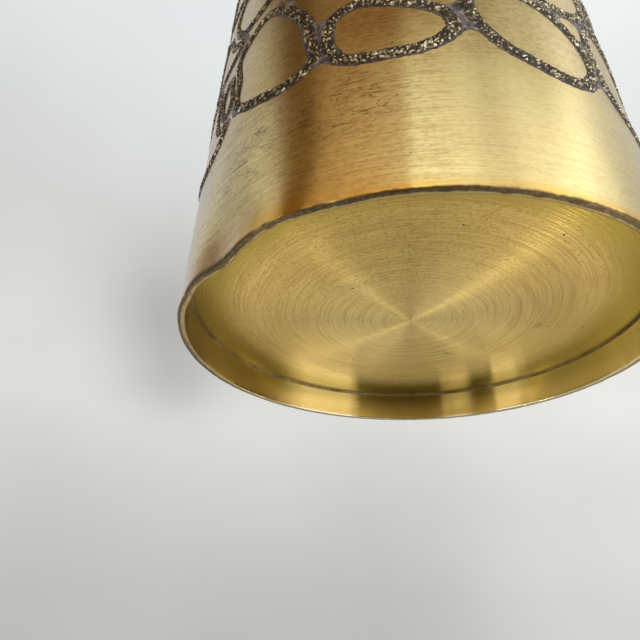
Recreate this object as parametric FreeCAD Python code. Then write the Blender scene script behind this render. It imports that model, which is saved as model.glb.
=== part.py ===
"""Brass desk cup with a recessed base and a raised pattern of braze beads.

The cup stands upright on the lower edge of its wall.  The origin is the centre
of that edge, +Z runs up the axis to the open mouth and -Y is the front.
Lengths are in millimetres and bearings in degrees, from -Y towards +X.
"""
import FreeCAD, Part
import math
import os

V = FreeCAD.Vector
ORIGIN = V(0, 0, 0)
AXIS = V(0, 0, 1)
FRONT = V(0, -1, 0)

# The cup
OUTER_R = 38.1           # three-inch tube
HEIGHT = 101.6
WALL = 1.2
EDGE_ROUND = 0.25        # the worn corners of both ends of the tube
BASE_RECESS = 6.0        # from the lower edge of the wall up to the base
BASE_THICK = 1.6
JOINT_GAP = 0.1          # the solder fills it all round the base
FILLET_BELOW = 0.45      # legs of the two solder fillets
FILLET_ABOVE = 0.8

# The beads
BEAD_WIDTH = 1.6
BEAD_HEIGHT = 0.45
BEAD_CLEARANCE = 0.12    # between two beads that run side by side
OUTLINE_STEP = 1.8       # spacing of the points that a bead's outline passes through
BAND_LOW = 21.6          # centre line of the lowest beads, above the plain lower band
BAND_HIGH = 81.0
BAND_WAVE = 0.7          # how far the lowest beads wander up and down
ROWS = 4
CELLS_PER_ROW = 13
WANDER = 0.16            # how far a cell strays sideways, as a share of a cell
WANDER_TURN = (2.4, 1.7) # radians that the sideways stray turns by from cell to cell, row to row
LIFT = 0.18              # how far a cell strays up or down, as a share of a row
LIFT_TURN = (3.1, 0.9)   # radians that the upward stray turns by from cell to cell, row to row
WAVES_ROUND = 4.7        # waves of the lowest beads in one turn of the cup
CELL_REACH = 2.6         # cell pitches within which one cell shapes another
LEAST_ROOM = 4.5         # a cell's centre is at least this far from the front beads
SIDE_ROOM = 6.75         # and at least this far from the two side cells
SHORT_SIDE = 3.5         # sides shorter than this are rounded away whole
CORNER_CUT = 0.27        # share of each longer side that a rounded corner takes
CLOSE_ENOUGH = 0.01      # tolerance for a point on a bead's line

INNER_R = OUTER_R - WALL
BASE_R = INNER_R - JOINT_GAP
BASE_TOP = BASE_RECESS + BASE_THICK
MM_PER_DEG = math.radians(OUTER_R)
FULL_TURN = 360 * MM_PER_DEG
CELL_PITCH = FULL_TURN / CELLS_PER_ROW
ROW_PITCH = (BAND_HIGH - BAND_LOW) / ROWS

# The beads at the front, each a line through (bearing, height) points.  A loop
# closes on itself, and a strand runs from one loop's bead to another's.
FRONT_BEADS = [
    ("loop", [
        (-12.9, 29.5), (-12.3, 26.0), (-9.6, 23.0), (-4.0, 22.1), (3.0, 22.2), (8.5, 23.6),
        (11.8, 26.8), (10.2, 29.8), (4.0, 31.9), (-2.0, 33.5), (-7.5, 34.2), (-11.7, 32.7)]),
    ("loop", [
        (-15.5, 28.0), (-16.6, 24.3), (-20.5, 23.1), (-27.0, 23.6), (-33.0, 25.0),
        (-37.6, 27.3), (-38.2, 31.0), (-38.9, 35.5), (-39.8, 40.3), (-36.0, 42.7),
        (-30.0, 44.6), (-25.5, 43.2), (-21.5, 39.5), (-17.3, 34.4)]),
    ("loop", [
        (-41.2, 29.8), (-43.4, 28.6), (-45.4, 30.3), (-46.4, 33.5), (-45.2, 37.0),
        (-43.2, 38.2), (-41.9, 36.0), (-41.3, 32.8)]),
    ("loop", [
        (-41.4, 26.2), (-43.5, 23.6), (-47.0, 22.1), (-51.5, 21.5), (-57.0, 22.0),
        (-63.5, 23.4), (-68.6, 26.8), (-69.8, 31.5), (-66.8, 36.2), (-60.5, 39.2),
        (-54.5, 40.4), (-50.2, 38.8), (-49.2, 34.5), (-48.2, 30.2), (-45.4, 26.8)]),
    ("loop", [
        (14.6, 30.5), (16.4, 27.1), (19.6, 24.0), (25.0, 21.8), (31.0, 20.6), (37.5, 21.2),
        (41.6, 24.6), (41.0, 29.4), (36.5, 33.0), (31.0, 35.2), (24.5, 36.5), (18.5, 36.4),
        (15.2, 34.2)]),
    ("strand", [
        (-14.4, 34.9), (-16.0, 37.6), (-18.7, 41.2), (-22.0, 44.8), (-23.4, 48.6),
        (-19.0, 51.6), (-10.0, 52.6), (-1.0, 51.6), (7.0, 49.6), (12.2, 45.6), (14.0, 41.0),
        (14.0, 37.0)]),
    ("loop", [
        (-39.3, 44.8), (-43.5, 43.6), (-49.0, 42.8), (-55.0, 42.6), (-60.0, 44.6),
        (-61.6, 49.0), (-58.6, 53.6), (-53.4, 55.4), (-49.6, 53.4), (-47.0, 49.2),
        (-42.4, 47.2)]),
    ("loop", [
        (-38.0, 47.8), (-33.4, 48.4), (-29.0, 50.0), (-26.0, 53.0), (-26.6, 58.0),
        (-31.0, 61.4), (-37.5, 62.4), (-43.6, 60.6), (-46.6, 57.0), (-45.4, 53.0),
        (-42.6, 49.8)]),
]
# Two cells that fill the room beside the front beads
SIDE_SEEDS = [(-72.5, 45.0), (31.0, 43.5)]


def unrolled(bearing, height):
    """A point of the wall on the flat sheet that the wall unrolls to."""
    return V(bearing * MM_PER_DEG, 0, height)


def nearest_turn(point, reference):
    """The point, moved whole turns round the cup to where it is nearest the reference."""
    turns = round((point.x - reference.x) / FULL_TURN)
    return V(point.x - turns * FULL_TURN, 0, point.z)


def curve_through(points, closed):
    """A smooth curve through points of a flat sheet."""
    curve = Part.BSplineCurve()
    curve.interpolate(points, PeriodicFlag=closed)
    return curve


def front_lines():
    """The centre lines of the beads at the front, on the unrolled sheet."""
    return [(kind, [unrolled(*place) for place in places]) for kind, places in FRONT_BEADS]


def uneven(turn, i, row):
    """A number from -1 to 1 that changes unevenly from cell to cell and from row to row."""
    return math.sin(turn[0] * i + turn[1] * row)


def row_seeds():
    """Centres of the cells of the whole band, in uneven rows."""
    seeds = []
    for row in range(ROWS):
        for i in range(CELLS_PER_ROW):
            along = i + 0.5 * (row % 2) + WANDER * uneven(WANDER_TURN, i, row)
            up = row + 0.5 + LIFT * uneven(LIFT_TURN, i, row)
            seeds.append(nearest_turn(V(CELL_PITCH * along, 0, BAND_LOW + ROW_PITCH * up), ORIGIN))
    return seeds


def free_seeds(lines):
    """The cell centres that the front beads leave room for."""
    seeds = [unrolled(*place) for place in SIDE_SEEDS]
    wires = []
    covered = []
    for kind, points in lines:
        wire = Part.Wire(curve_through(points, kind == "loop").toShape())
        wires.append(wire)
        if kind == "loop":
            covered.append(Part.Face(wire))
    for seed in row_seeds():
        at = Part.Vertex(seed)
        room = min(wire.distToShape(at)[0] for wire in wires)
        beside = min(seed.distanceToPoint(unrolled(*place)) for place in SIDE_SEEDS)
        inside = any(face.isInside(seed, CLOSE_ENOUGH, True) for face in covered)
        if room > LEAST_ROOM and beside > SIDE_ROOM and not inside:
            seeds.append(seed)
    return seeds


def clipped(corners, seed, towards, limit):
    """The part of a convex polygon that lies within limit of the seed, in one direction."""
    kept = []
    for a, b in zip(corners, corners[1:] + corners[:1]):
        past_a = (a - seed).dot(towards) - limit
        past_b = (b - seed).dot(towards) - limit
        if past_a <= 0:
            kept.append(a)
        if past_a * past_b < 0:
            kept.append(a + (b - a) * (past_a / (past_a - past_b)))
    return kept


def rounded(corners):
    """A closed line through a convex polygon's sides that rounds its corners away."""
    line = []
    for a, b in zip(corners, corners[1:] + corners[:1]):
        short = (b - a).Length < SHORT_SIDE
        shares = [0.5] if short else [CORNER_CUT, 0.5, 1 - CORNER_CUT]
        line += [a + (b - a) * share for share in shares]
    neighbours = zip(line, line[1:] + line[:1], line[2:] + line[:2])
    return [(before + point * 2 + after) * 0.25 for before, point, after in neighbours]


def cell_line(seed, seeds, walls):
    """The centre line of one cell's bead: the cell's share of the room, with round corners."""
    low = BAND_LOW + BAND_WAVE * math.sin(WAVES_ROUND * seed.x / OUTER_R)
    left = seed.x - CELL_PITCH
    right = seed.x + CELL_PITCH
    corners = [V(left, 0, low), V(right, 0, low), V(right, 0, BAND_HIGH), V(left, 0, BAND_HIGH)]
    spacing = BEAD_WIDTH + BEAD_CLEARANCE
    limits = [(nearest_turn(other, seed) - seed, 0.5, spacing / 2) for other in seeds]
    limits += [(nearest_turn(point, seed) - seed, 1.0, spacing) for point in walls]
    for offset, share, margin in limits:
        if 0 < offset.Length < CELL_REACH * CELL_PITCH:
            direction = V(offset).normalize()
            corners = clipped(corners, seed, direction, share * offset.Length - margin)
    return rounded(corners)


def bead_lines():
    """Every bead's kind and centre line: the front beads first, then the cells."""
    lines = front_lines()
    walls = []
    for kind, points in lines:
        walls += curve_through(points, kind == "loop").discretize(Distance=OUTLINE_STEP)
    seeds = free_seeds(lines)
    return lines + [("loop", cell_line(seed, seeds, walls)) for seed in seeds]


def outline(curve, closed, offset):
    """A curve beside a bead's centre line, at this distance from it."""
    length = curve.length()
    steps = max(8, round(length / OUTLINE_STEP))
    points = []
    for i in range(steps if closed else steps + 1):
        at = curve.parameterAtDistance(length * i / steps, curve.FirstParameter)
        tangent = curve.tangent(at)[0]
        points.append(curve.value(at) + V(tangent.z, 0, -tangent.x) * offset)
    return curve_through(points, closed)


def bead_footprint(curve, closed):
    """The flat face that a bead covers, seen from in front of its middle."""
    sides = [outline(curve, closed, offset) for offset in (BEAD_WIDTH / 2, -BEAD_WIDTH / 2)]
    if closed:
        faces = [Part.Face(Part.Wire(side.toShape())) for side in sides]
        faces.sort(key=lambda face: face.Area)
        return faces[1].cut(faces[0]).Faces[0]
    right, left = sides
    end = Part.LineSegment(right.EndPoint, left.EndPoint)
    start = Part.LineSegment(left.StartPoint, right.StartPoint)
    left.reverse()
    return Part.Face(Part.Wire([side.toShape() for side in (right, end, left, start)]))


def bead(kind, points, skin):
    """One bead, as a strip of even height laid on the wall."""
    closed = kind == "loop"
    middle = (min(p.x for p in points) + max(p.x for p in points)) / 2
    flat = [V(OUTER_R * math.sin((p.x - middle) / OUTER_R), 0, p.z) for p in points]
    strip = bead_footprint(curve_through(flat, closed), closed).extrude(FRONT * 1.5 * OUTER_R)
    laid = strip.common(skin)
    laid.rotate(ORIGIN, AXIS, middle / MM_PER_DEG)
    return laid


def bead_skin():
    """The layer round the wall that the beads are cut from."""
    low = BAND_LOW - 2 * BEAD_WIDTH
    tall = BAND_HIGH - BAND_LOW + 4 * BEAD_WIDTH
    outside = Part.makeCylinder(OUTER_R + BEAD_HEIGHT, tall, V(0, 0, low))
    return outside.cut(Part.makeCylinder(OUTER_R, tall, V(0, 0, low)))


def tube_wall():
    """The plain tube, with the corners of both its ends rounded."""
    tube = Part.makeCylinder(OUTER_R, HEIGHT).cut(Part.makeCylinder(INNER_R, HEIGHT))
    ends = [edge for edge in tube.Edges if isinstance(edge.Curve, Part.Circle)]
    return tube.makeFillet(EDGE_ROUND, ends)


def base_disc():
    """The flat base, set up inside the wall."""
    return Part.makeCylinder(BASE_R, BASE_THICK, V(0, 0, BASE_RECESS))


def base_solder():
    """The solder between base and wall, with a sloped fillet on each side of the base."""
    section = [
        V(BASE_R - FILLET_BELOW, 0, BASE_RECESS),
        V(INNER_R, 0, BASE_RECESS - FILLET_BELOW),
        V(INNER_R, 0, BASE_TOP + FILLET_ABOVE),
        V(BASE_R - FILLET_ABOVE, 0, BASE_TOP),
        V(BASE_R, 0, BASE_TOP),
        V(BASE_R, 0, BASE_RECESS),
    ]
    return Part.Face(Part.makePolygon(section + section[:1])).revolve(ORIGIN, AXIS, 360)


def main():
    nodes = {"tube_wall": tube_wall(), "base_disc": base_disc(), "base_solder": base_solder()}
    skin = bead_skin()
    for number, (kind, points) in enumerate(bead_lines(), start=1):
        nodes[f"bead_{kind}_{number:02d}"] = bead(kind, points, skin)
    os.makedirs("parts", exist_ok=True)
    for name, shape in nodes.items():
        shape.Solids[0].exportStep(f"parts/{name}.step")


main()
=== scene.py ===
"""Looks of the brass desk cup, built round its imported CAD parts.

Everything is in metres in the part's own frame: the origin is the centre of the
lower edge of the wall, +Z is up the axis and -Y is the front.  A bearing is an
angle from -Y towards +X, in degrees in the settings and in radians in the shapes.
"""
import math

import bpy
import numpy as np
from mathutils import Matrix, Vector, noise
from mathutils.kdtree import KDTree


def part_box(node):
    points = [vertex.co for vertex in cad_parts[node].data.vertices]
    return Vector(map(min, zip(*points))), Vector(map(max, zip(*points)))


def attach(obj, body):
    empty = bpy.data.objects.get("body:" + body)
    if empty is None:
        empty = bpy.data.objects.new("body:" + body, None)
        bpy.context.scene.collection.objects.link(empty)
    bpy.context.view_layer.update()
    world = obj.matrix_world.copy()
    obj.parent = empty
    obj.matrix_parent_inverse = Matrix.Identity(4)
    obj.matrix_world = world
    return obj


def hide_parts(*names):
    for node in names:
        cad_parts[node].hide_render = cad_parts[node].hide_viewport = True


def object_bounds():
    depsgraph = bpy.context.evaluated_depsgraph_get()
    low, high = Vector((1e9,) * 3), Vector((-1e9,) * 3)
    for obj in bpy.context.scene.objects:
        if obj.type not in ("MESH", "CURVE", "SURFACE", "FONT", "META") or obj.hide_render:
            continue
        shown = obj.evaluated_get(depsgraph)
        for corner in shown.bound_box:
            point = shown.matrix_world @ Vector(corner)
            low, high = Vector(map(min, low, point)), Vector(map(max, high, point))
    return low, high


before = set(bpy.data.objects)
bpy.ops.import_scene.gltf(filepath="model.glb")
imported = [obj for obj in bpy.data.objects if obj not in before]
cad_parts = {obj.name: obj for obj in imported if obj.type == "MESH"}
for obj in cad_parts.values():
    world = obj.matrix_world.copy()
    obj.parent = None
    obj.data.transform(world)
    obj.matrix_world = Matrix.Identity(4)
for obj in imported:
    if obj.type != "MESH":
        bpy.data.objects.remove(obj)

CAD_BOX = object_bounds()
MM = 0.001

# Sizes that the frame gives
WALL_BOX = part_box("tube_wall")
DISC_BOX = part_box("base_disc")
SOLDER_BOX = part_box("base_solder")
OUTER_R = WALL_BOX[1].x
HEIGHT = WALL_BOX[1].z
INNER_R = SOLDER_BOX[1].x
DISC_R = DISC_BOX[1].x
DISC_LOW = DISC_BOX[0].z
DISC_HIGH = DISC_BOX[1].z
BEAD_RISE = CAD_BOX[1].x - OUTER_R
BEAD_NODES = sorted(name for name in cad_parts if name.startswith("bead_"))

# Wall
WALL_COLUMNS = 432
EDGE_ROUND = 0.25 * MM
# A bulge and two dents of the lower rim, as (bearing, half width in degrees, how far outwards)
RIM_HUMPS = ((-20.0, 7.0, 0.3 * MM), (-38.0, 8.0, -1.2 * MM), (-54.0, 5.0, -0.2 * MM))
DENT_REACH = 5.5 * MM    # how far up the wall the dents go
RIM_REACH = 0.7 * MM     # how far up the wall the rim is ragged
LIP_SHARES = [k / 8 for k in range(1, 8)]

# Marks on the wall, as (bearing, half width in degrees, height, half reach in height)
STAIN = (-1.0, 15.0, 31 * MM, 9 * MM)          # amber from heat, inside the front loop of beads
HAZE = (-40.0, 9.0, 1.8 * MM, 2.6 * MM)        # a soft brown haze above the dent
WARM_PATCH = (-20.0, 15.0, 0.0, 3.0 * MM)      # amber brass above the bulge
WARM_STREAK = (-26.0, 8.0, 1.2 * MM, 1.5 * MM)
WORN_PATCHES = ((-31.0, 11.0, 15 * MM, 8.5 * MM), (-9.0, 11.0, 15 * MM, 5.5 * MM))
# Families of scratches, as (tilt in degrees, waves a metre along, waves a metre across)
SCRATCHES = ((-32, 150, 620), (2, 32, 700), (13, 70, 760), (62, 170, 600))

# Two dark smudges under the disc, as (x, y)
SMUDGES = ((6.5 * MM, 14.0 * MM), (22.5 * MM, 5.0 * MM))

# Beads
BEAD_WIDTH = 1.6 * MM    # as in the CAD part
BEAD_COLUMNS = 19
BEAD_STEP = 0.17 * MM    # from one cross-section to the next along a bead
FLASH_WIDTH = 2.35 * MM  # the core with the thin smooth metal along both its sides
FLASH_RISE = 0.07 * MM
GRAIN = 0.31 * MM        # usual size of a granule
GRAIN_PUSH = 0.25        # how far granules are pushed out of place, in their own size
GRAIN_DOME = 0.72        # from a granule's centre to the foot of its dome, in its own size
GRAIN_GAP = 0.22         # how wide the crevice between two granules is, in their own size
GRAIN_CELL = 7.3         # spreads the granules' centres over the cells that number them
GRAIN_CELL_SHIFT = Vector((3.1, 1.7, 0.4))
NOISE_SEED = 11          # noise_vector is seeded by the clock unless a seed is set
FILL_REACH = 3.9 * MM    # beads whose lines come this close have thin metal run in between them
FILL_MOST = 2.1 * MM     # the furthest that thin metal reaches from a bead's line
FILL_PROBE = 1.3 * MM    # from a bead's line to where its neighbours are looked for
FILL_ROUNDS = 5          # of evening out the thin metal's edge
SLIM_BEARING = -47.0     # the beads are thinner at the left side
SLIM_WIDTH = 12.0
SLIM_SHARE = 0.36
UNEVEN_WAVE = 2.2 * MM   # of a bead's slow changes of width
RAGGED_WAVE = 0.7 * MM   # of its ragged edges
EDGE_SINK = 0.02 * MM    # how far its edges dip into the wall
BEAD_FOOT = 0.15 * MM    # how deep a bead's closed underside lies in the wall

# Floor
FLOOR_RINGS = (0.9, 0.5, 0.25, 0.12, 0.06, 0.0001)
FLOOR_DROP = 0.02 * MM   # how far it lies below the rim

# Camera, below the front of the cup
CAMERA_PLACE = Vector((0.0, -74.12, -33.99)) * MM
CAMERA_FORWARD = Vector((-0.18511, 0.85835, 0.47851))
CAMERA_UP = Vector((0.06568, -0.47503, 0.87752))
LENS = 27.06
SENSOR = 36.0


# ---------------------------------------------------------------- shapes


def smooth(low, high, x):
    """0 below low, 1 above high, and a smooth step between them."""
    t = np.clip((np.asarray(x, float) - low) / (high - low), 0.0, 1.0)
    return t * t * (3 - 2 * t)


def hump(x, middle, width):
    """A smooth hump of height 1 round a middle."""
    return np.exp(-(((np.asarray(x, float) - middle) / width) ** 2))


def patch(degrees, height, mark):
    """A smooth patch of height 1 on the wall, for a mark as (bearing, half width, height, half reach)."""
    bearing, width, level, reach = mark
    return hump(degrees, bearing, width)[None, :] * hump(height, level, reach)


def arc(centre, radius, start, end, steps):
    """Points of a circular arc in a section, with angles in degrees from +r towards +z."""
    angles = np.radians(np.linspace(start, end, steps + 1))
    return [(centre[0] + radius * math.cos(a), centre[1] + radius * math.sin(a)) for a in angles]


def grid_object(name, points, closed_rows, closed_columns, attributes=None):
    """A quad mesh over a grid of points, rows by columns, with float attributes at its points."""
    rows, columns = points.shape[:2]
    index = np.arange(rows * columns).reshape(rows, columns)
    lower = index if closed_rows else index[:-1]
    upper = np.roll(index, -1, axis=0) if closed_rows else index[1:]
    if closed_columns:
        lower_next = np.roll(lower, -1, axis=1)
        upper_next = np.roll(upper, -1, axis=1)
    else:
        lower_next = lower[:, 1:]
        upper_next = upper[:, 1:]
        lower = lower[:, :-1]
        upper = upper[:, :-1]
    quads = np.stack([lower, lower_next, upper_next, upper], axis=-1).reshape(-1, 4)
    faces = quads.tolist()
    if closed_rows and not closed_columns:
        faces.append(index[:, 0].tolist())
        faces.append(index[::-1, -1].tolist())
    mesh = bpy.data.meshes.new(name)
    mesh.from_pydata(points.reshape(-1, 3).tolist(), [], faces)
    mesh.polygons.foreach_set("use_smooth", [True] * len(mesh.polygons))
    for label, values in (attributes or {}).items():
        layer = mesh.attributes.new(label, "FLOAT", "POINT")
        layer.data.foreach_set("value", np.asarray(values, np.float32).ravel())
    mesh.update()
    thing = bpy.data.objects.new(name, mesh)
    bpy.context.scene.collection.objects.link(thing)
    return thing


def turned(section, columns):
    """A section of (radius, height) points turned round the axis: radii, heights and bearings."""
    section = np.array(section)
    bearings = np.radians(np.arange(columns) * 360.0 / columns - 180.0)
    radius = section[:, 0][:, None] * np.ones(columns)
    height = section[:, 1][:, None] * np.ones(columns)
    return radius, height, bearings


def placed(radius, height, bearings):
    """Points in the frame from radius, height and bearing in radians."""
    return np.stack([radius * np.sin(bearings), -radius * np.cos(bearings), height], axis=-1)


def wavering(bearings, scale, seed):
    """Smooth unevenness from -1 to 1 round the cup, at about `scale` waves a turn."""
    places = [Vector((scale * math.sin(b) / 3, scale * math.cos(b) / 3, seed)) for b in bearings]
    return np.array([noise.noise(p) for p in places])


# ---------------------------------------------------------------- beads


def crown_outline(node):
    """The longest edge of a CAD bead's crown on the unrolled wall, and the bearing of its middle."""
    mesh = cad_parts[node].data
    points = np.empty(len(mesh.vertices) * 3)
    mesh.vertices.foreach_get("co", points)
    points = points.reshape(-1, 3)
    crown = np.hypot(points[:, 0], points[:, 1]) > OUTER_R + 0.8 * BEAD_RISE
    keys = [tuple(k) for k in np.round(points * 1e6).astype(int)]
    count = {}
    for face in mesh.polygons:
        corners = list(face.vertices)
        if all(crown[i] for i in corners):
            for i, j in zip(corners, corners[1:] + corners[:1]):
                edge = frozenset((keys[i], keys[j]))
                count[edge] = count.get(edge, 0) + 1
    beside = {}
    for edge in sorted((tuple(sorted(e)) for e, n in count.items() if n == 1 and len(e) == 2)):
        beside.setdefault(edge[0], []).append(edge[1])
        beside.setdefault(edge[1], []).append(edge[0])
    middle = points[crown].mean(axis=0)
    turn = math.atan2(middle[0], -middle[1])
    outlines = []
    left = set(beside)
    while left:
        at = min(left)
        walk = []
        while at in left:
            left.discard(at)
            walk.append(at)
            at = next((k for k in beside[at] if k in left), at)
        loop = np.array(walk, float) / 1e6
        away = np.arctan2(loop[:, 0], -loop[:, 1]) - turn
        away = (away + math.pi) % (2 * math.pi) - math.pi
        outlines.append(np.stack([OUTER_R * away, loop[:, 2]], axis=1))
    return max(outlines, key=lambda line: line_length(line, True)), turn


def line_length(line, closed):
    """How long a line is, with its closing piece if it is closed."""
    ends = np.roll(line, -1, axis=0) if closed else line[1:]
    return float(np.linalg.norm(ends - line[: len(ends)], axis=1).sum())


def resampled(line, closed, count):
    """Points spaced evenly along a line."""
    if closed:
        line = np.vstack([line, line[:1]])
    along = np.concatenate([[0], np.cumsum(np.linalg.norm(np.diff(line, axis=0), axis=1))])
    wanted = np.linspace(0, along[-1], count + 1)[:-1] if closed else np.linspace(0, along[-1], count)
    return np.stack([np.interp(wanted, along, line[:, k]) for k in (0, 1)], axis=1)


def softened(line, closed, times):
    """A line with its small kinks averaged away."""
    for _ in range(times):
        if closed:
            line = (np.roll(line, 1, axis=0) + 2 * line + np.roll(line, -1, axis=0)) / 4
        else:
            line[1:-1] = (line[:-2] + 2 * line[1:-1] + line[2:]) / 4
    return line


def normals_of(line, closed):
    """Unit normals of a line, on its left-hand side."""
    if closed:
        tangent = np.roll(line, -1, axis=0) - np.roll(line, 1, axis=0)
    else:
        tangent = np.gradient(line, axis=0)
    tangent = tangent / np.maximum(np.linalg.norm(tangent, axis=1), 1e-12)[:, None]
    return np.stack([-tangent[:, 1], tangent[:, 0]], axis=1)


def bead_line(node):
    """A bead's centre line on the unrolled wall, whether it is closed, and its middle's bearing."""
    outline, turn = crown_outline(node)
    closed = "loop" in node
    if closed:
        count = max(40, round(line_length(outline, True) / (0.5 * MM)))
        line = softened(resampled(outline, True, count), True, 2)
        x, z = line.T
        area = float(np.sum(x * np.roll(z, -1) - np.roll(x, -1) * z))
        if area < 0:
            line = line[::-1]
        line = softened(line + normals_of(line, True) * BEAD_WIDTH / 2, True, 3)
    else:
        count = 2 * round(line_length(outline, True) / (2 * 0.4 * MM))
        ring = resampled(outline, True, count)
        half = count // 2
        spans = [np.linalg.norm(ring[i] - ring[(i + half) % count]) for i in range(half)]
        ring = np.roll(ring, -int(np.argmax(spans)), axis=0)
        there = resampled(ring[: half + 1], False, half)
        back = resampled(np.vstack([ring[half:], ring[:1]])[::-1], False, half)
        line = softened((there + back) / 2, False, 4)
    fine = max(24, round(line_length(line, closed) / BEAD_STEP))
    return softened(resampled(line, closed, fine), closed, 6), closed, turn


def grains(points, seed):
    """For points of the unrolled wall: how high a granule stands there, and its own number, 0 to 1."""
    rise = np.empty(len(points))
    own = np.empty(len(points))
    for i, (x, z) in enumerate(points):
        at = Vector((x / GRAIN, z / GRAIN, seed))
        at += GRAIN_PUSH * noise.noise_vector(at * 1.7)
        distances, centres = noise.voronoi(at)
        dome = max(0.0, 1 - (distances[0] / GRAIN_DOME) ** 2)
        gap = min(1.0, (distances[1] - distances[0]) / GRAIN_GAP)
        rise[i] = dome * (0.35 + 0.65 * gap)
        own[i] = noise.cell(centres[0] * GRAIN_CELL + GRAIN_CELL_SHIFT)
    return rise, own


def on_wall(x, z, turn):
    """A point of the unrolled wall, put back on the wall."""
    bearing = x / OUTER_R + turn
    return Vector((OUTER_R * math.sin(bearing), -OUTER_R * math.cos(bearing), z))


def tree_of_lines(beads):
    """A search tree over points of all the beads' lines, and which bead each point belongs to."""
    places = []
    owners = []
    for number, (line, _, turn) in enumerate(beads):
        places += [on_wall(x, z, turn) for x, z in line[::3]]
        owners += [number] * (len(places) - len(owners))
    lines = KDTree(len(places))
    for i, place in enumerate(places):
        lines.insert(place, i)
    lines.balance()
    return lines, owners


def gaps_beside(seed, line, closed, turn, lines, owners):
    """How far thin metal runs out on the two sides of each point of a bead's line, past the usual."""
    normals = normals_of(line, closed)
    gaps = []
    for side in (-1, 1):
        reach = np.zeros(len(line))
        for i, (point, normal) in enumerate(zip(line, normals)):
            probe = point + side * normal * FILL_PROBE
            near = lines.find_range(on_wall(probe[0], probe[1], turn), FILL_REACH - FILL_PROBE)
            others = [distance for _, number, distance in near if owners[number] != seed]
            if others:
                reach[i] = min(FILL_MOST, 0.56 * (min(others) + FILL_PROBE))
        extra = np.clip(reach - FLASH_WIDTH / 2, 0, None)
        for _ in range(FILL_ROUNDS):
            extra = (np.roll(extra, 1) + 2 * extra + np.roll(extra, -1)) / 4
        gaps.append(extra)
    return gaps


def unevenness(along, closed, seed):
    """Slow and ragged unevenness along a bead, which meets itself where the bead is closed."""
    if closed:
        length = len(along) * BEAD_STEP
        circle = along / length * 2 * math.pi
        reach = length / (2 * math.pi)
        track = np.stack([np.cos(circle), np.sin(circle)], axis=1) * reach
    else:
        track = np.stack([along, np.zeros(len(along))], axis=1)
    slow = [Vector((x, y, seed + 9)) for x, y in track / UNEVEN_WAVE]
    ragged = []
    for side in (-1, 1):
        places = [Vector((x, y, seed + 20 + side)) for x, y in track / RAGGED_WAVE]
        ragged.append(np.array([noise.noise(p) + 0.6 * noise.noise(p * 2.7) for p in places]))
    return np.array([noise.noise(p) for p in slow]), ragged


def bead_piece(node, seed, line, closed, turn, gaps):
    """One bead as laid: a granular core between two thin smooth borders, closed underneath."""
    across = np.linspace(-1, 1, BEAD_COLUMNS)
    normals = normals_of(line, closed)
    along = np.arange(len(line)) * BEAD_STEP
    uneven, ragged = unevenness(along, closed, seed)
    slim = 1 - SLIM_SHARE * hump(np.degrees(line[:, 0] / OUTER_R + turn), SLIM_BEARING, SLIM_WIDTH)
    width_left = FLASH_WIDTH / 2 * slim * (1 + 0.10 * uneven + 0.14 * ragged[0]) + gaps[0]
    width_right = FLASH_WIDTH / 2 * slim * (1 - 0.10 * uneven + 0.14 * ragged[1]) + gaps[1]
    left_side = across[None, :] < 0
    offset = across[None, :] * np.where(left_side, width_left[:, None], width_right[:, None])
    fill = np.where(left_side, gaps[0][:, None], gaps[1][:, None]) / (0.5 * MM)
    sheet = line[:, None, :] + normals[:, None, :] * offset[:, :, None]
    flat = sheet.reshape(-1, 2) + np.array([OUTER_R * turn, 0.0])
    grain, own = grains(flat, float(seed) * 3.7)
    grain = grain.reshape(offset.shape)
    own = own.reshape(offset.shape)
    core_half = BEAD_WIDTH / 2 * (slim * (1.12 + 0.22 * uneven))[:, None]
    core = np.sqrt(np.clip(1 - (np.abs(offset) / core_half) ** 4, 0, 1))
    rise = BEAD_RISE * np.clip(core * (0.24 + 0.76 * grain * (0.70 + 0.30 * own)), 0, 1)
    film = FLASH_RISE * (0.8 + 0.35 * ragged[0][:, None])
    film = film * np.clip(1 - np.abs(across)[None, :] ** 8, 0, 1)
    rise = np.minimum(np.maximum(rise, film), 0.98 * BEAD_RISE)
    rise[:, [0, -1]] = -EDGE_SINK
    if not closed:
        ends = smooth(0, BEAD_WIDTH / 2, np.minimum(along, along[-1] - along))
        rise = rise * ends[:, None] - EDGE_SINK * (1 - ends[:, None])
    foot = -BEAD_FOOT * np.ones((len(line), 1))
    sheet = np.concatenate([sheet, sheet[:, -1:], sheet[:, :1]], axis=1)
    radius = OUTER_R + np.concatenate([rise, foot, foot], axis=1)
    edge_dark = smooth(0.84, 0.99, np.abs(across))[None, :] * np.ones((len(line), 1))
    is_core = smooth(0.05, 0.45, core)
    blank = np.zeros((len(line), 2))
    points = placed(radius, sheet[:, :, 1], sheet[:, :, 0] / OUTER_R + turn)
    on_top = {"grain": grain * is_core, "granule": own, "core": is_core, "fill": np.clip(fill, 0, 1)}
    attributes = {label: np.concatenate([value, blank], axis=1).T for label, value in on_top.items()}
    attributes["border"] = np.concatenate([edge_dark, blank + 1], axis=1).T
    grid = np.transpose(points, (1, 0, 2))
    return grid_object(node + "_laid", grid, True, closed, attributes)


# ---------------------------------------------------------------- wall, base and solder


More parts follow.
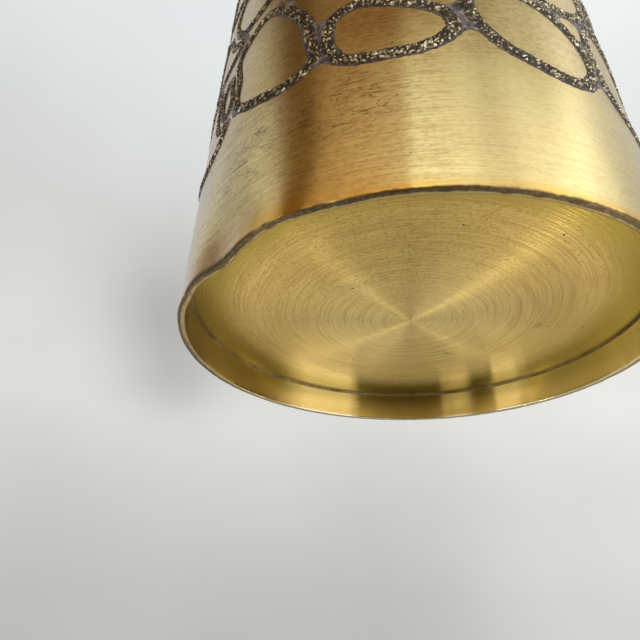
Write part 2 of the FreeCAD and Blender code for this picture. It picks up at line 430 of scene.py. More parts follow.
def wall_section():
    """The wall's section from the lower rim up the outside and down the inside, as one closed line."""
    r = EDGE_ROUND
    section = arc((INNER_R + r, r), r, 180, 270, 5)
    section += [(INNER_R + r + share * (OUTER_R - INNER_R - 2 * r), 0.0) for share in LIP_SHARES]
    section += arc((OUTER_R - r, r), r, 270, 360, 5)
    low = 12 * MM
    section += [(OUTER_R, z) for z in np.linspace(r, low, 40)[1:]]
    section += [(OUTER_R, z) for z in np.linspace(low, HEIGHT - r, 92)[1:-1]]
    section += arc((OUTER_R - r, HEIGHT - r), r, 0, 90, 4)
    section += arc((INNER_R + r, HEIGHT - r), r, 90, 180, 4)
    section += [(INNER_R, z) for z in np.linspace(HEIGHT - r, DISC_HIGH, 24)[1:-1]]
    section += [(INNER_R, z) for z in np.linspace(DISC_HIGH, r, 16)[:-1]]
    return section


def wall_piece(lines):
    """The tube with its dented, slightly ragged lower rim and marks for heat and tarnish."""
    radius, height, bearings = turned(wall_section(), WALL_COLUMNS)
    degrees = np.degrees(bearings)
    dent = sum(outward * hump(degrees, middle, width) for middle, width, outward in RIM_HUMPS)
    dent = dent + 0.05 * MM * wavering(bearings, 40, 1.0)
    ragged = 0.09 * MM * wavering(bearings, 150, 2.0) + 0.05 * MM * wavering(bearings, 420, 3.0)
    fade = hump(height, 0.0, DENT_REACH)
    rim = hump(height, 0.0, RIM_REACH)
    outer = ((radius - INNER_R) / (OUTER_R - INNER_R)).clip(0, 1)
    radius = radius + dent[None, :] * fade + np.minimum(ragged, 0.02 * MM)[None, :] * rim * outer
    lift = 0.06 * MM * (0.5 + wavering(bearings, 90, 4.0).clip(-0.5, 0.5))
    height = height + lift[None, :] * rim
    points = placed(radius, height, bearings)
    away = np.full(radius.shape, 20 * MM)
    outside = radius > OUTER_R - 0.1 * MM
    for row, column in zip(*np.nonzero(outside & (height > 10 * MM))):
        away[row, column] = lines.find(points[row, column])[2]
    patchy = 1 + 0.45 * wavering(bearings, 60, 5.0) + 0.3 * wavering(bearings, 200, 6.0)
    band = 0.30 * MM * patchy * (1 + 2.2 * hump(degrees, -43.0, 9.0))
    inner_edge = 0.19 + 0.20 * hump(degrees, 3.0, 14.0)
    inner_edge = inner_edge + 0.16 * wavering(bearings, 75, 7.0) + 0.12 * wavering(bearings, 150, 8.0)
    tarnish = np.exp(-np.clip(height / band[None, :], 0, 30) ** 1.6)
    tarnish = tarnish * smooth(0.0, 0.22, outer - inner_edge[None, :])
    bright_line = hump(outer, 0.46, 0.12) * (height < 0.1 * MM)
    tarnish = tarnish * (1 - 0.75 * bright_line * hump(degrees, -62.0, 18.0)[None, :])
    tarnish = tarnish * (1 - 0.85 * smooth(85, 135, np.abs(degrees + 10))[None, :])
    warm = patch(degrees, height, WARM_PATCH)
    warm = np.maximum(warm, 0.95 * hump(height, 0.0, 1.1 * MM)) * outer
    warm = np.maximum(warm, 0.9 * patch(degrees, height, WARM_STREAK) * (outer > 0.5))
    near_bead = hump(np.clip(away - 1.0 * MM, 0, None), 0.0, 3.2 * MM)
    stain = np.maximum(0.85 * patch(degrees, height, STAIN), 0.16 * near_bead)
    stain = np.maximum(stain, patch(degrees, height, HAZE)) * (outer > 0.5)
    worn = np.zeros(radius.shape)
    for middle, width, level, reach in WORN_PATCHES:
        far = ((degrees - middle) / width) ** 2 + ((height - level) / reach) ** 2
        worn = np.maximum(worn, 1 - smooth(0.2, 1.8, far))
    clean = smooth(3, 12, degrees) * (1 - smooth(60, 90, degrees))
    rubbed = 1 - 0.5 * clean[None, :] * (1 - smooth(19 * MM, 23 * MM, height))
    # Painted shade: the inside of the wall is darkened from about -142 to -40 degrees, most from -118 to
    # -70.
    painted_shade_left = smooth(-142, -118, degrees) * (1 - smooth(-70, -40, degrees))
    front = 1 - smooth(140, 165, np.abs(degrees))
    attributes = {
        "worn": worn * outer,
        "rubbed": rubbed,
        "front": front[None, :] * np.ones(radius.shape),
        "painted_shade_left": painted_shade_left[None, :] * np.ones(radius.shape),
        "lip": np.maximum(
            hump(outer, 0.45, 0.42) * (height < 0.12 * MM),
            (outer < 0.5) * (height < 0.3 * MM) * (1 - smooth(60, 100, np.abs(degrees)))[None, :],
        ),
        "stain": stain,
        "heat": np.exp(-np.clip((away - 1.15 * MM) / (0.85 * MM), 0, 30) ** 1.2),
        "tarnish": tarnish,
        "warm": warm,
        "outside": outer,
        "bearing": np.degrees(np.broadcast_to(bearings, radius.shape)),
    }
    return grid_object("tube_wall_brushed", points, True, True, attributes)


def base_section():
    """The disc's section: flat faces with softened outer corners, and a shallow dip at the centre."""
    r = 0.2 * MM
    centre = 0.0002 * MM
    dip = 0.4 * MM
    section = [(centre, DISC_LOW + 0.06 * MM), (0.15 * MM, DISC_LOW + 0.05 * MM), (dip, DISC_LOW)]
    section += [(radius, DISC_LOW) for radius in np.linspace(dip, DISC_R - r, 44)[1:-1]]
    section += arc((DISC_R - r, DISC_LOW + r), r, 270, 360, 4)
    section += arc((DISC_R - r, DISC_HIGH - r), r, 0, 90, 4)
    section += [(radius, DISC_HIGH) for radius in np.linspace(DISC_R - r, centre, 30)[1:]]
    return section


def base_piece():
    """The turned disc, with very slight rings left by the tool."""
    radius, height, bearings = turned(base_section(), 240)
    rings = np.array([noise.noise(Vector((r / (1.3 * MM), 0.0, 7.0))) for r in radius[:, 0]])
    lower = height < (DISC_LOW + DISC_HIGH) / 2
    inside = (radius > 0.5 * MM) & (radius < DISC_R - 0.4 * MM)
    height = height + np.where(lower & inside, 0.004 * MM * (1 + rings[:, None]), 0.0)
    return grid_object("base_disc_turned", placed(radius, height, bearings), True, True)


def solder_piece():
    """The solder ring, with hollow fillets of uneven size above and below the disc."""
    below = DISC_LOW - SOLDER_BOX[0].z
    above = SOLDER_BOX[1].z - DISC_HIGH
    lap = 0.05 * MM          # how far the solder reaches into the wall and the disc
    steps = np.linspace(0, 1, 7)
    section = []
    for t in steps:
        hollow = 0.35 * math.sin(math.pi * t)
        radius = DISC_R - below * (1 - t) + below * 0.2 * hollow
        section.append((radius, DISC_LOW - below * t * (1 - 0.25 * hollow)))
    section.append((INNER_R + lap, DISC_LOW - below))
    section.append((INNER_R + lap, DISC_HIGH + above))
    for t in steps:
        hollow = 0.35 * math.sin(math.pi * t)
        radius = INNER_R - above * t * (1 - 0.25 * hollow)
        section.append((radius, DISC_HIGH + above * (1 - t) * (1 - hollow * 0.4)))
    section.append((DISC_R - above, DISC_HIGH - lap))
    section.append((DISC_R - below, DISC_LOW + lap))
    radius, height, bearings = turned(section, 360)
    uneven = 0.5 + 0.5 * wavering(bearings, 70, 11.0) + 0.3 * wavering(bearings, 260, 12.0)
    inward = np.clip(INNER_R - radius, 0, None)
    radius = radius + inward * (0.50 + 0.20 * uneven[None, :].clip(0, 1))
    return grid_object("base_solder_ring", placed(radius, height, bearings), True, True)


# ---------------------------------------------------------------- materials


class Tree:
    """A node tree that is put together from short calls."""

    def __init__(self, tree):
        self.tree = tree
        tree.nodes.clear()

    def add(self, kind, inputs=None, **settings):
        made = self.tree.nodes.new(kind)
        for key, value in settings.items():
            setattr(made, key, value)
        for key, value in (inputs or {}).items():
            if isinstance(value, bpy.types.NodeSocket):
                self.tree.links.new(value, made.inputs[key])
            else:
                made.inputs[key].default_value = value
        return made

    def output(self, shader, kind="ShaderNodeOutputMaterial"):
        """The tree's output, with this shader in it."""
        self.add(kind, {"Surface": shader.outputs[0]})

    def math(self, operation, *values, clamp=False):
        made = self.add("ShaderNodeMath", dict(enumerate(values)), operation=operation, use_clamp=clamp)
        return made.outputs[0]

    def times(self, a, b):
        return self.math("MULTIPLY", a, b)

    def plus(self, a, b, clamp=False):
        return self.math("ADD", a, b, clamp=clamp)

    def minus(self, a, b):
        return self.math("SUBTRACT", a, b)

    def most(self, a, b):
        return self.math("MAXIMUM", a, b)

    def place(self):
        """The place on the object, in metres."""
        return self.add("ShaderNodeTexCoord").outputs["Object"]

    def attribute(self, name):
        return self.add("ShaderNodeAttribute", attribute_name=name).outputs["Fac"]

    def vector(self, operation, *values, result="Vector"):
        made = self.add("ShaderNodeVectorMath", dict(enumerate(values)), operation=operation)
        return made.outputs[result]

    def scaled(self, vector, scale):
        return self.vector("MULTIPLY", vector, scale)

    def noise(self, vector, scale=1.0, detail=2.0, roughness=0.5):
        inputs = {"Vector": vector, "Scale": scale, "Detail": detail, "Roughness": roughness}
        return self.add("ShaderNodeTexNoise", inputs).outputs["Fac"]

    def between(self, value, low, high, to_low=0.0, to_high=1.0, kind="SMOOTHSTEP"):
        """The value's smooth step from low to high, as a number from to_low to to_high."""
        inputs = {"Value": value, "From Min": low, "From Max": high, "To Min": to_low, "To Max": to_high}
        return self.add("ShaderNodeMapRange", inputs, interpolation_type=kind).outputs["Result"]

    def linear(self, *values):
        """The same as `between`, but as a straight climb."""
        return self.between(*values, kind="LINEAR")

    def blended(self, share, a, b):
        """A number from a at share 0 to b at share 1."""
        return self.add("ShaderNodeMix", {0: share, 2: a, 3: b}, data_type="FLOAT").outputs[0]

    def mixed(self, share, a, b, blend="MIX"):
        """A colour from a at share 0 to b at share 1."""
        made = self.add("ShaderNodeMix", {0: share, 6: a, 7: b}, data_type="RGBA", blend_type=blend)
        return made.outputs[2]

    def grey(self, value):
        """A neutral colour of this value."""
        return self.add("ShaderNodeCombineColor", {"Red": value, "Green": value, "Blue": value}).outputs[0]

    def ramp(self, value, stops):
        """A colour ramp through (place, colour) stops."""
        made = self.add("ShaderNodeValToRGB", {"Fac": value})
        elements = made.color_ramp.elements
        while len(elements) < len(stops):
            elements.new(0.5)
        for element, (place, _) in zip(elements, stops):
            element.position = place
        for element, (_, colour) in zip(elements, stops):
            element.color = colour
        return made.outputs["Color"]


def rgb(r, g, b):
    return (r, g, b, 1.0)


DULLED = rgb(0.62, 0.52, 0.42)       # what a brass tone is multiplied by where it is dull
WALL_BRASS = rgb(0.95, 0.785, 0.335)
WALL_INSIDE = rgb(0.94, 0.86, 0.50)
# The inside of the wall darkened with painted shade, used at the left side.
WALL_INSIDE_PAINTED_SHADE = rgb(0.48, 0.38, 0.18)
WALL_WARM = rgb(0.86, 0.53, 0.08)
WALL_STAINED = rgb(0.58, 0.40, 0.23)
WALL_HEATED = rgb(0.34, 0.27, 0.20)
WALL_MARK = rgb(0.13, 0.08, 0.045)
LIP = rgb(0.46, 0.32, 0.09)
LIP_TARNISH = (rgb(0.085, 0.052, 0.018), rgb(0.26, 0.17, 0.060))
DISC_BRASS = (rgb(0.97, 0.725, 0.262), rgb(0.87, 0.608, 0.18))      # in the middle, and further out
# The second edge tone is a painted dark reflection of the wall at the disc's left side.
DISC_EDGE = (rgb(0.47, 0.328, 0.045), rgb(0.38, 0.252, 0.03))       # as usual, and at the left side
DISC_MARK = rgb(0.10, 0.075, 0.03)
SOLDER = (rgb(0.18, 0.125, 0.05), rgb(0.36, 0.26, 0.10))
GREY_SKIN = (rgb(0.07, 0.062, 0.054), rgb(0.38, 0.345, 0.31))       # run in between two beads
# The brown skin is partly real skin and partly painted shade beside the bead.
BROWN_SKIN_AND_SHADE = (rgb(0.050, 0.039, 0.030), rgb(0.17, 0.138, 0.108))    # beside a single bead
SKIN_EDGE = rgb(0.055, 0.042, 0.035)
CREVICE = rgb(0.016, 0.012, 0.009)
GRANULE = [
    (0.0, rgb(0.08, 0.065, 0.045)),
    (0.22, rgb(0.23, 0.19, 0.125)),
    (0.50, rgb(0.52, 0.43, 0.26)),
    (0.80, rgb(0.90, 0.75, 0.44)),
    (1.0, rgb(1.0, 0.96, 0.80)),
]


def new_material(name):
    made = bpy.data.materials.new(name)
    made.use_nodes = True
    return made, Tree(made.node_tree)


def finish_material(tree, inputs, height, bump, distance):
    """The Principled shader with these inputs, and a bump from this height."""
    lift = tree.add("ShaderNodeBump", {"Height": height, "Strength": bump, "Distance": distance})
    inputs = {**inputs, "Normal": lift.outputs["Normal"]}
    tree.output(tree.add("ShaderNodeBsdfPrincipled", inputs))


def turned_metal(tree, colour, rough):
    """Inputs of a metal with fine lines round the axis, which stretch its highlights across them."""
    tangent = tree.add("ShaderNodeTangent", direction_type="RADIAL", axis="Z").outputs[0]
    return {
        "Base Color": colour,
        "Metallic": 1.0,
        "Roughness": rough,
        "Anisotropic": 1.0,
        "Anisotropic Rotation": 0.25,
        "Tangent": tangent,
    }


def brass(tree, tone, dull):
    """Brass colour that wanders a little towards a duller, browner tone."""
    browned = tree.mixed(1.0, tone, DULLED, blend="MULTIPLY")
    return tree.mixed(dull, tone, browned)


def brushed_wall_material():
    """Lacquered brass with fine brush lines round the cup, scratches, heat marks and a dark rim."""
    made, tree = new_material("brushed_wall")
    place = tree.place()
    fine = tree.noise(tree.scaled(place, (140, 140, 5200)), detail=2.0, roughness=0.6)
    broad = tree.noise(tree.scaled(place, (80, 80, 2000)), detail=3.0, roughness=0.65)
    short = tree.noise(tree.scaled(place, (1150, 1150, 2700)), detail=2.0, roughness=0.6)
    cloud = tree.noise(place, scale=85.0, detail=4.0, roughness=0.55)
    lines = tree.plus(tree.times(fine, 0.6), tree.times(broad, 0.4))
    bearing = tree.attribute("bearing")
    height = tree.add("ShaderNodeSeparateXYZ", {0: place}).outputs["Z"]
    scratches = wall_scratches(tree, bearing, height, place)
    pits = tree.add("ShaderNodeTexVoronoi", {"Vector": place, "Scale": 900.0})
    pit = tree.between(pits.outputs["Distance"], 0.10, 0.22, 1.0, 0.0)
    own = tree.add("ShaderNodeSeparateColor", {0: pits.outputs["Color"]}).outputs["Red"]
    pit = tree.times(pit, tree.between(own, 0.80, 0.95))
    pit = tree.times(pit, tree.between(tree.noise(place, scale=170.0, detail=1.0), 0.48, 0.66))
    dull = tree.between(cloud, 0.42, 0.78, 0.0, 0.22)
    rubbed = tree.between(broad, 0.46, 0.66, 0.0, 0.24)
    rubbed = tree.plus(rubbed, tree.between(fine, 0.46, 0.62, 0.0, 0.28))
    rubbed = tree.plus(rubbed, tree.between(short, 0.42, 0.66, 0.0, 0.42))
    rubbed = tree.times(rubbed, tree.attribute("rubbed"))
    dull = tree.plus(dull, rubbed, clamp=True)
    colour = brass(tree, WALL_BRASS, dull)
    inside = tree.minus(1.0, tree.attribute("outside"))
    # Painted shade on the inside of the wall at the left side.
    inner_tone = tree.mixed(tree.attribute("painted_shade_left"), WALL_INSIDE, WALL_INSIDE_PAINTED_SHADE)
    colour = tree.mixed(inside, colour, inner_tone)
    warm = tree.times(tree.attribute("warm"), tree.between(cloud, 0.30, 0.60, 0.60, 1.0))
    colour = tree.mixed(warm, colour, WALL_WARM)
    colour = tree.mixed(tree.times(tree.attribute("lip"), 0.9), colour, LIP)
    stain = tree.times(tree.attribute("stain"), tree.between(cloud, 0.25, 0.65, 0.7, 1.0))
    colour = tree.mixed(stain, colour, tree.mixed(1.0, colour, WALL_STAINED, blend="MULTIPLY"))
    heat = tree.times(tree.attribute("heat"), tree.between(cloud, 0.25, 0.65, 0.35, 0.9))
    colour = tree.mixed(heat, colour, WALL_HEATED)
    marks = tree.most(scratches, tree.times(pit, 0.5))
    colour = tree.mixed(marks, colour, WALL_MARK)
    tarnish = tree.attribute("tarnish")
    mottle = tree.noise(place, scale=1500.0, detail=3.0, roughness=0.6)
    frayed = tree.minus(mottle, 0.5)
    tarnish = tree.between(tree.plus(tarnish, frayed), 0.18, 1.05)
    tarnish = tree.times(tarnish, tree.between(tree.attribute("tarnish"), 0.02, 0.15))
    tarnish_tone = tree.mixed(tree.between(mottle, 0.40, 0.68), *LIP_TARNISH)
    colour = tree.mixed(tarnish, colour, tarnish_tone)
    rough = tree.linear(lines, 0.3, 0.7, 0.18, 0.25)
    rough = tree.minus(rough, tree.times(inside, 0.12))
    rough = tree.plus(rough, tree.times(tarnish, 0.25))
    finish_material(
        tree,
        {**turned_metal(tree, colour, rough), "Coat Weight": 0.35, "Coat Roughness": 0.14},
        height=tree.minus(lines, tree.times(marks, 0.5)),
        bump=0.15,
        distance=0.04 * MM,
    )
    return made


def wall_scratches(tree, bearing, height, place):
    """Dark scratches in two worn patches at the front of the plain lower band, from 0 to 1."""
    along = tree.times(bearing, OUTER_R * math.pi / 180)
    sheet = tree.add("ShaderNodeCombineXYZ", {"X": along, "Y": height, "Z": 0.0}).outputs[0]
    sway = tree.add("ShaderNodeTexNoise", {"Vector": sheet, "Scale": 160.0, "Detail": 1.0}).outputs["Color"]
    sway = tree.scaled(tree.vector("SUBTRACT", sway, (0.5, 0.5, 0.5)), (1.0 * MM, 1.0 * MM, 0.0))
    sheet = tree.vector("ADD", sheet, sway)
    found = None
    for k, (tilt, along_rate, across_rate) in enumerate(SCRATCHES):
        turned_sheet = tree.add("ShaderNodeMapping", {
            "Vector": sheet,
            "Rotation": (0, 0, math.radians(tilt)),
            "Location": (3.0 * k, 3.0 * k, 0),
            "Scale": (along_rate, across_rate, 1),
        }).outputs[0]
        away = tree.math("ABSOLUTE", tree.minus(tree.noise(turned_sheet, detail=2.0), 0.5))
        streak = tree.between(away, 0.002, 0.012, 1.0, 0.0)
        found = streak if found is None else tree.most(found, streak)
    patchy = tree.between(tree.noise(place, scale=300.0, detail=1.0), 0.36, 0.54)
    found = tree.times(found, patchy)
    specks = tree.between(tree.noise(place, scale=1900.0, detail=2.0), 0.63, 0.72, 0.0, 0.5)
    found = tree.most(found, specks)
    elsewhere = tree.between(tree.noise(place, scale=45.0, detail=1.0), 0.52, 0.70, 0.0, 0.25)
    elsewhere = tree.times(elsewhere, tree.attribute("front"))
    masks = tree.most(tree.attribute("worn"), elsewhere)
    return tree.times(tree.times(found, masks), 0.64)


def turned_base_material():
    """Brass turned on a lathe: fine rings, a satin sheen across them, small pits and smudges."""
    made, tree = new_material("turned_base")
    place = tree.place()
    parts = tree.add("ShaderNodeSeparateXYZ", {0: place})
    flat = tree.add("ShaderNodeCombineXYZ", {"X": parts.outputs["X"], "Y": parts.outputs["Y"]}).outputs[0]
    radius = tree.vector("LENGTH", flat, result="Value")

    def rings(rate, drift, detail):
        inputs = {"X": tree.times(radius, rate)}
        inputs["Y"] = tree.times(parts.outputs["X"], drift)
        inputs["Z"] = tree.times(parts.outputs["Y"], drift)
        return tree.noise(tree.add("ShaderNodeCombineXYZ", inputs).outputs[0], detail=detail, roughness=0.6)

    fine = rings(4600.0, 90.0, 3.0)
    broad = rings(1800.0, 40.0, 3.0)
    slow = rings(260.0, 8.0, 2.0)
    cloud = tree.noise(place, scale=70.0, detail=4.0)
    lines = tree.plus(tree.times(fine, 0.72), tree.times(broad, 0.28))
    cells = tree.add("ShaderNodeTexVoronoi", {"Vector": place, "Scale": 700.0})
    pit = tree.between(cells.outputs["Distance"], 0.08, 0.2, 1.0, 0.0)
    pit = tree.times(pit, tree.between(tree.noise(place, scale=420.0, detail=1.0), 0.64, 0.72))
    smudge = None
    for x, y in SMUDGES:
        away = tree.vector("DISTANCE", place, (x, y, DISC_LOW), result="Value")
        near = tree.between(away, 0.3 * MM, 2.3 * MM, 1.0, 0.0)
        smudge = near if smudge is None else tree.most(smudge, near)
    ragged = tree.between(tree.noise(tree.scaled(place, (500, 1500, 500)), detail=3.0), 0.50, 0.62)
    smudge = tree.times(tree.times(smudge, ragged), 0.6)
    dull = tree.between(broad, 0.50, 0.74, 0.0, 0.18)
    dull = tree.plus(dull, tree.between(fine, 0.46, 0.62, 0.0, 0.44))
    dull = tree.plus(dull, tree.between(cloud, 0.45, 0.75, 0.0, 0.20), clamp=True)
    outward = tree.between(radius, 0.2 * DISC_R, 0.75 * DISC_R)
    speckle = tree.between(rings(3600.0, 420.0, 3.0), 0.54, 0.68, 0.0, 0.75)
    grit = tree.between(tree.noise(place, scale=2900.0, detail=2.0), 0.53, 0.66, 0.0, 0.75)
    speckle = tree.most(speckle, grit)
    facing = tree.between(parts.outputs["Y"], -0.45 * DISC_R, 0.15 * DISC_R, 1.0, 0.30)
    dull = tree.most(dull, tree.times(speckle, facing))
    colour = brass(tree, tree.mixed(outward, *DISC_BRASS), dull)
    edge = tree.between(radius, 0.74 * DISC_R, 0.92 * DISC_R)
    # Painted reflection: the disc's edge is darker at the left side, where it mirrors the dark wall.
    left_painted_reflection = tree.between(parts.outputs["X"], -0.95 * DISC_R, -0.62 * DISC_R, 1.0, 0.0)
    colour = tree.mixed(tree.times(edge, 0.9), colour, tree.mixed(left_painted_reflection, *DISC_EDGE))
    marks = tree.most(tree.times(pit, 0.75), smudge)
    colour = tree.mixed(marks, colour, DISC_MARK)
    rough = tree.linear(lines, 0.3, 0.7, 0.31, 0.39)
    rough = tree.minus(rough, tree.between(slow, 0.4, 0.7, 0.0, 0.02))
    rough = tree.minus(rough, tree.between(radius, 0.56 * DISC_R, 0.80 * DISC_R, 0.0, 0.10))
    finish_material(
        tree,
        turned_metal(tree, colour, rough),
        height=tree.minus(lines, marks),
        bump=1.0,
        distance=0.085 * MM,
    )
    return made


def solder_material():
    """Dull, darkened solder."""
    made, tree = new_material("solder")
    place = tree.place()
    coarse = tree.noise(place, scale=260.0, detail=4.0)
    fine = tree.noise(place, scale=2400.0, detail=2.0)
    colour = tree.mixed(tree.between(coarse, 0.35, 0.65), *SOLDER)
    rough = tree.linear(fine, 0.3, 0.7, 0.42, 0.6)
    finish_material(
        tree,
        {"Base Color": colour, "Metallic": 0.95, "Roughness": rough},
        height=fine,
        bump=0.5,
        distance=0.03 * MM,
    )
    return made


def bead_material():
    """Braze metal: brass granules with black crevices, and a thin brown or grey skin at the sides, the
    brown one darkened partly as painted shade beside the bead.
    """
    made, tree = new_material("bead_metal")
    place = tree.place()
    grain = tree.attribute("grain")
    own = tree.attribute("granule")
    core = tree.attribute("core")
    fine = tree.noise(place, scale=5200.0, detail=2.0)
    cloud = tree.noise(place, scale=900.0, detail=4.0, roughness=0.65)
    grey_skin = tree.mixed(tree.between(cloud, 0.38, 0.62), *GREY_SKIN)
    # Brown skin with painted shade beside a single bead.
    brown_skin_and_shade = tree.mixed(tree.between(cloud, 0.35, 0.65), *BROWN_SKIN_AND_SHADE)
    skin = tree.mixed(tree.attribute("fill"), brown_skin_and_shade, grey_skin)
    skin = tree.mixed(tree.times(tree.attribute("border"), 0.80), skin, SKIN_EDGE)
    varied = tree.plus(own, tree.times(tree.minus(fine, 0.5), 1.1))
    gold = tree.ramp(varied, GRANULE)
    deep = tree.between(tree.plus(grain, tree.times(fine, 0.30)), 0.17, 0.42)
    gold = tree.mixed(deep, CREVICE, gold)
    shine = tree.between(core, 0.25, 0.75)
    colour = tree.mixed(shine, skin, gold)
    metal = tree.blended(shine, 0.55, tree.linear(deep, 0.0, 1.0, 0.35, 1.0))
    rough = tree.blended(shine, 0.42, tree.linear(own, 0.0, 1.0, 0.45, 0.22))
    finish_material(
        tree,
        {"Base Color": colour, "Metallic": metal, "Roughness": rough},
        height=fine,
        bump=1.0,
        distance=0.07 * MM,
    )
    return made


# ---------------------------------------------------------------- stage and light


def grey(level, warmth=0.0):
    """A light's colour at this level, neutral at warmth 0, brown above it and blue below it."""
    green = 0.33 if warmth > 0 else 0.08
    return rgb(level, level * (1 - green * warmth), level * (1 - 0.62 * warmth))


def room_ramp(tree, share, stops):
    """The room's light round the cup, from (bearing, level, warmth) stops."""
    return tree.ramp(share, [((b + 180.0) / 360.0, grey(level, warm)) for b, level, warm in stops])


# The room's light round the cup, higher up and lower down, as (bearing, level, warmth) stops
ROOM_ABOVE = [
    (-180, 0.58, -0.2), (-140, 0.56, -0.38), (-108, 0.58, -0.4), (-97, 0.55, -0.2), (-84, 0.30, 0.1),
    (-76, 0.58, 0.0), (-66, 0.68, 0.1), (-61, 0.36, 0.8), (-55, 0.25, 1.3), (-42, 0.17, 1.35),
    (-36, 0.44, 1.1), (-28, 0.62, 1.0), (-15, 0.84, 0.8), (2, 1.02, 0.5), (7, 1.50, 0.05),
    (30, 1.34, 0.0), (41, 0.98, 0.1), (50, 1.02, 0.1), (58, 1.42, 0.0), (84, 1.55, 0.0),
    (98, 0.62, 0.0), (180, 0.58, -0.1),
]
ROOM_BELOW = [
    (-180, 0.42, 0.0), (-120, 0.36, 0.2), (-78, 0.34, 0.1), (-66, 0.42, -0.1), (-61, 1.50, -0.50),
    (-48, 1.45, -0.50), (-45, 0.04, 0.6), (-33, 0.04, 0.6), (-30, 1.15, -0.3), (-21, 1.00, -0.3),
    (-14, 0.02, 0.9), (35, 0.02, 0.9), (41, 1.85, -0.6), (72, 1.90, -0.6), (84, 0.80, -0.2),
    (94, 0.36, 0.0), (108, 0.26, 0.1), (130, 0.20, 0.3), (180, 0.42, 0.0),
]
# Lamps low round the cup, as (bearing, elevation, level, sharpness)
LAMPS = (
    (125, -45, 1.1, 100.0), (125, -45, 10.0, 700.0),
    (-92, -54, 1.5, 90.0), (-94, -54, 11.0, 700.0),
    (138, -33, 0.50, 14.0), (-138, -33, 0.35, 14.0),
)


def world_light():
    """A pale studio: plain to the camera, and a room with soft bright windows to the brass."""
    world = bpy.data.worlds.new("studio")
    world.use_nodes = True
    bpy.context.scene.world = world
    tree = Tree(world.node_tree)
    way = tree.add("ShaderNodeTexCoord").outputs["Generated"]
    parts = tree.add("ShaderNodeSeparateXYZ", {0: way})
    x, y, z = (parts.outputs[k] for k in "XYZ")
    turn = tree.math("ARCTAN2", x, tree.times(y, -1.0))
    share = tree.linear(turn, -math.pi, math.pi)
    above = room_ramp(tree, share, ROOM_ABOVE)
    below = room_ramp(tree, share, ROOM_BELOW)
    facing = tree.times(y, -1.0)
    sideways = tree.between(turn, math.radians(52), math.radians(72), 0.0, 0.075)
    high = tree.between(tree.plus(z, sideways), 0.738, 0.850)
    high = tree.times(high, tree.between(facing, -0.1, 0.14))
    above = tree.mixed(high, above, rgb(0.05, 0.024, 0.008))
    lower = tree.times(tree.between(z, -0.62, -0.46, 0.7, 0.0), tree.between(facing, 0.0, 0.2))
    below = tree.mixed(lower, below, rgb(0.22, 0.19, 0.13))
    room = tree.mixed(tree.between(z, -0.05, 0.25), below, above)
    table = tree.times(tree.between(z, -0.62, -0.40, 1.0, 0.0), tree.between(y, -0.15, 0.35))
    room = tree.mixed(table, room, rgb(0.52, 0.52, 0.51))
    near = tree.times(tree.between(z, -0.42, -0.2), tree.between(y, -0.1, 0.3))
    near = tree.times(near, tree.between(z, -0.16, -0.02, 1.0, 0.0))
    room = tree.mixed(tree.times(near, 0.5), room, rgb(0.17, 0.15, 0.12))
    for bearing, elevation, level, sharp in LAMPS:
        b, e = math.radians(bearing), math.radians(elevation)
        aim = (math.sin(b) * math.cos(e), -math.cos(b) * math.cos(e), math.sin(e))
        dot = tree.vector("DOT_PRODUCT", way, aim, result="Value")
        lobe = tree.math("POWER", tree.most(dot, 0.0), sharp)
        room = tree.mixed(1.0, room, tree.grey(tree.times(lobe, level)), blend="ADD")
    plain = camera_backdrop(tree, x, y, z, way)
    path = tree.add("ShaderNodeLightPath")
    seen = tree.mixed(path.outputs["Is Camera Ray"], room, plain)
    shade = tree.add("ShaderNodeBackground", {"Color": seen, "Strength": 1.0})
    tree.output(shade, "ShaderNodeOutputWorld")


def camera_backdrop(tree, x, y, z, way):
    """The plain pale backdrop, a little brighter high up and with faint unevenness."""
    climb = tree.linear(tree.math("ARCSINE", z), math.radians(-10), math.radians(60))
    # Painted shadow: the dip in this ramp about 36 degrees up stands in for the cup's soft shadow on the
    # pale surface.
    tone = tree.ramp(climb, [
        (0.0, rgb(0.50, 0.50, 0.485)),
        (0.13, rgb(0.535, 0.53, 0.51)),
        (0.26, rgb(0.62, 0.615, 0.595)),
        (0.38, rgb(0.72, 0.72, 0.70)),
        (0.66, rgb(0.665, 0.665, 0.655)),
        (0.92, rgb(0.775, 0.81, 0.81)),
        (1.0, rgb(0.79, 0.825, 0.83)),
    ])
    uneven = tree.noise(way, scale=3.0, detail=3.0)
    level = tree.linear(uneven, 0.3, 0.7, 0.965, 1.035)
    east = tree.between(x, -0.1, 0.35, 1.0, 1.14)
    level = tree.times(level, east)
    corner = tree.times(tree.between(x, 0.0, 0.22), tree.between(z, 0.0, 0.22, 1.0, 0.0))
    level = tree.times(level, tree.linear(corner, 0.0, 1.0, 1.0, 1.13))
    return tree.mixed(1.0, tone, tree.grey(level), blend="MULTIPLY")


def seen_by_camera_only(thing):
    """Keeps a stage piece out of reflections and shadows."""
    for rays in ("diffuse", "glossy", "transmission", "volume_scatter", "shadow"):
        setattr(thing, "visible_" + rays, False)


def floor_piece():
    """A pale round floor that fades into the backdrop, clear from below."""
    radius, height, bearings = turned([(r, -FLOOR_DROP) for r in FLOOR_RINGS], 96)
    floor = grid_object("floor", placed(radius, height, bearings), False, True)
    made, tree = new_material("floor")
    place = tree.place()
    away = tree.vector("LENGTH", place, result="Value")
    tone = tree.noise(place, scale=9.0, detail=3.0)
    colour = tree.mixed(tree.between(tone, 0.3, 0.7), rgb(0.90, 0.90, 0.885), rgb(0.95, 0.95, 0.94))
    diffuse = tree.add("ShaderNodeBsdfDiffuse", {"Color": colour})
    clear = tree.add("ShaderNodeBsdfTransparent")
    under = tree.add("ShaderNodeNewGeometry").outputs["Backfacing"]
    gone = tree.most(under, tree.between(away, 0.15, 0.8))
    mix = tree.add("ShaderNodeMixShader", {0: gone, 1: diffuse.outputs[0], 2: clear.outputs[0]})
    tree.output(mix)
    floor.data.materials.append(made)
    seen_by_camera_only(floor)


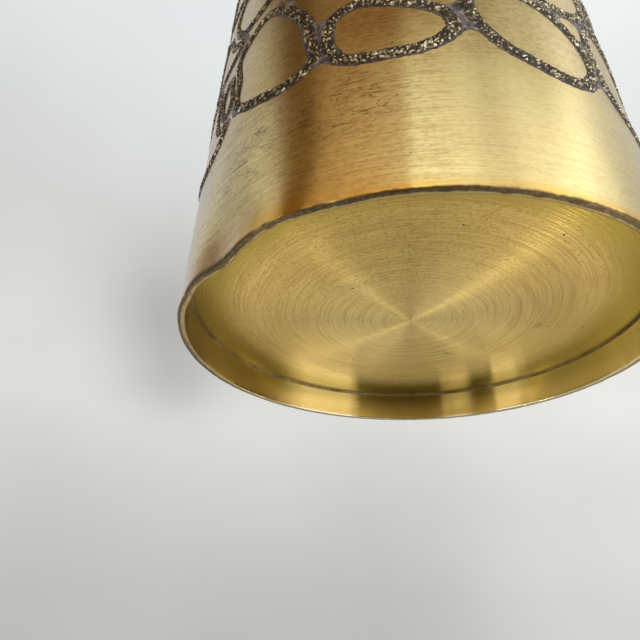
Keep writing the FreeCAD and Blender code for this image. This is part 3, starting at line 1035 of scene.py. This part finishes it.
def shade_piece():
    """The cup's soft shadow on the pale surface behind it, seen only from below."""
    level = 26 * MM
    away = -CAMERA_PLACE.y
    touch = math.acos(OUTER_R / away)
    start = Vector((-math.sin(touch), -math.cos(touch))) * (OUTER_R + 0.02 * MM)
    line = (start - Vector((0.0, -away))).normalized()
    side = Vector((-line.y, line.x))
    turn_off = start + line * (44 * MM)
    near = start - line * (50 * MM)
    corners = [
        near, near + side * (70 * MM), near + side * (70 * MM) + line * (230 * MM),
        Vector((-10, 240)) * MM, Vector((-10, 60)) * MM, Vector((-40, 45)) * MM, turn_off,
    ]
    mesh = bpy.data.meshes.new("shade")
    mesh.from_pydata([(c.x, c.y, level) for c in corners], [], [tuple(range(len(corners)))])
    mesh.update()
    if mesh.polygons[0].normal.z > 0:
        mesh.flip_normals()
    shade = bpy.data.objects.new("shade", mesh)
    bpy.context.scene.collection.objects.link(shade)
    made, tree = new_material("shade")
    place = tree.place()
    moved = tree.vector("SUBTRACT", place, (start.x, start.y, level))
    along = tree.vector("DOT_PRODUCT", moved, (line.x, line.y, 0), result="Value")
    out = tree.vector("DOT_PRODUCT", moved, (side.x, side.y, 0), result="Value")

    def bump(middle, reach, aside, width):
        s = tree.math("DIVIDE", tree.minus(along, middle * MM), reach * MM)
        d = tree.math("DIVIDE", tree.minus(out, aside * MM), width * MM)
        total = tree.plus(tree.times(s, s), tree.times(d, d))
        return tree.math("EXPONENT", tree.times(total, -1.0))

    dark = tree.times(bump(48, 30, 3, 14), 0.22)
    dark = tree.plus(dark, tree.times(bump(96, 50, -4, 18), 0.26))
    tint = tree.add("ShaderNodeCombineColor", {
        "Red": tree.minus(1.0, dark),
        "Green": tree.minus(1.0, tree.times(dark, 1.02)),
        "Blue": tree.minus(1.0, tree.times(dark, 1.07)),
    }).outputs[0]
    under = tree.add("ShaderNodeNewGeometry").outputs["Backfacing"]
    tint = tree.mixed(under, tint, rgb(1, 1, 1))
    clear = tree.add("ShaderNodeBsdfTransparent", {"Color": tint})
    tree.output(clear)
    shade.data.materials.append(made)
    seen_by_camera_only(shade)


def camera():
    """The camera under the front of the cup, looking up into its base."""
    data = bpy.data.cameras.new("camera")
    data.lens = LENS
    data.sensor_width = SENSOR
    data.clip_start = 1 * MM
    data.clip_end = 20.0
    made = bpy.data.objects.new("camera", data)
    bpy.context.scene.collection.objects.link(made)
    forward = CAMERA_FORWARD.normalized()
    right = forward.cross(CAMERA_UP).normalized()
    up = right.cross(forward)
    turn = Matrix((right, up, -forward)).transposed()
    made.matrix_world = Matrix.Translation(CAMERA_PLACE) @ turn.to_4x4()
    bpy.context.scene.camera = made


def main():
    noise.seed_set(NOISE_SEED)
    finishes = {
        "brushed_wall": brushed_wall_material(),
        "turned_base": turned_base_material(),
        "solder": solder_material(),
        "bead_metal": bead_material(),
    }
    pieces = []
    beads = [bead_line(node) for node in BEAD_NODES]
    lines, owners = tree_of_lines(beads)
    for seed, (node, (line, closed, turn)) in enumerate(zip(BEAD_NODES, beads)):
        gaps = gaps_beside(seed, line, closed, turn, lines, owners)
        pieces.append((bead_piece(node, seed, line, closed, turn, gaps), node, "bead_metal"))
    pieces.append((wall_piece(lines), "tube_wall", "brushed_wall"))
    pieces.append((base_piece(), "base_disc", "turned_base"))
    pieces.append((solder_piece(), "base_solder", "solder"))
    for piece, node, slot in pieces:
        piece.data.materials.append(finishes[slot])
        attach(piece, "root")
        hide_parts(node)
    floor_piece()
    shade_piece()
    world_light()
    camera()
    bpy.context.scene.view_settings.view_transform = "Standard"


main()
